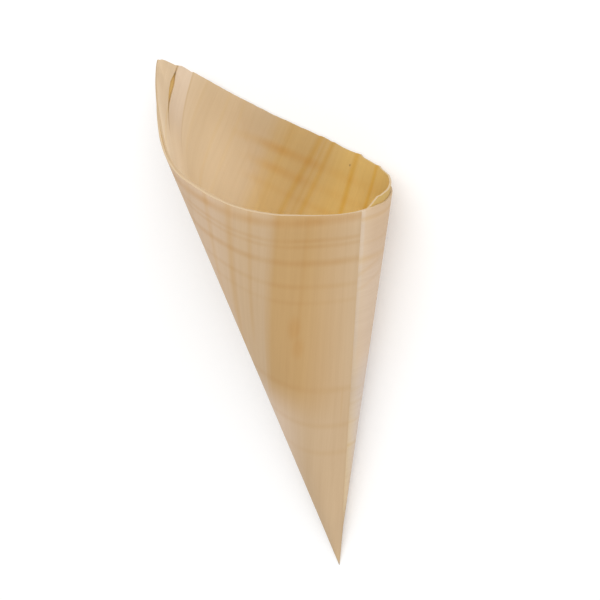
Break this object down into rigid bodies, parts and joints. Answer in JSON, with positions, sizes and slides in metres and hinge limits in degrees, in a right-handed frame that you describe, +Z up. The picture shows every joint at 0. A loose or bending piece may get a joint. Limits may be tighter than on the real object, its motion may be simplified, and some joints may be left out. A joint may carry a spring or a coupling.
{
  "type": "wooden food cone",
  "caption": "Pointed cone wound from thin pine veneer, with a slanting mouth and a tall corner, for serving finger food.",
  "frame": {"origin": "centre of the bounding box in X and Y, on the ground the cone lies on", "axes": "+Z up, +Y from the tip to the mouth along the ground, +X to the right when looking from the tip to the mouth"},
  "size_m": [0.0552, 0.121, 0.0379],
  "materials": {
    "pine_veneer": "bare sliced pine, dry and matt, slightly translucent"
  },
  "bodies": {
    "root": {"veneer_cone": "pine_veneer"}
  },
  "joints": []
}
